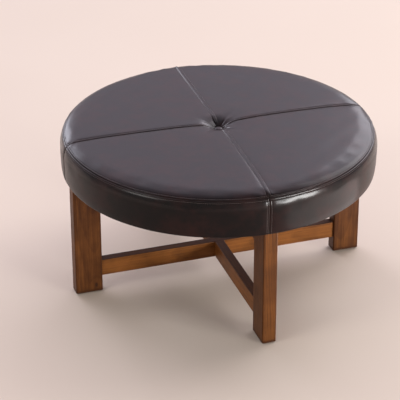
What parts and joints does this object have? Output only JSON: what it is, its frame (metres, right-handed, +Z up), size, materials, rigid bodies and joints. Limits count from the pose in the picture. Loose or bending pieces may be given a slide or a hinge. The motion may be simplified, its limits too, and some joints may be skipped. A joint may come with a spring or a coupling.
{
  "type": "footrest",
  "caption": "Low round footrest with a crowned, centre-tufted leather seat on flat wooden legs joined by halved cross stretchers.",
  "frame": {"origin": "on the floor below the middle of the seat", "axes": "+Z up; X along the stretcher that is continuous on top, Y along the other; the front is -Y"},
  "size_m": [0.796, 0.796, 0.4185],
  "materials": {
    "walnut_stained_wood": "satin lacquer over brown stain",
    "plywood": "raw",
    "espresso_leather": "smooth semi-gloss",
    "foam": "open cell",
    "black_cloth": "matte",
    "twine": "waxed",
    "zinc_steel": "zinc plated",
    "felt": "pressed"
  },
  "bodies": {
    "root": {"leg_left": "walnut_stained_wood", "leg_right": "walnut_stained_wood", "leg_front": "walnut_stained_wood", "leg_back": "walnut_stained_wood", "stretcher_left_right": "walnut_stained_wood", "stretcher_front_back": "walnut_stained_wood", "rail_left_right": "walnut_stained_wood", "rail_front_back": "walnut_stained_wood", "felt_pad_left": "felt", "felt_pad_right": "felt", "felt_pad_front": "felt", "felt_pad_back": "felt", "seat_board": "plywood", "foam_pad": "foam", "top_panel_back_right": "espresso_leather", "top_panel_back_left": "espresso_leather", "top_panel_front_left": "espresso_leather", "top_panel_front_right": "espresso_leather", "band_panel_back_right": "espresso_leather", "band_panel_back_left": "espresso_leather", "band_panel_front_left": "espresso_leather", "band_panel_front_right": "espresso_leather", "tuft_button": "espresso_leather", "dust_cover": "black_cloth", "button_eye": "zinc_steel", "button_twine": "twine", "twine_washer": "zinc_steel"}
  },
  "joints": []
}
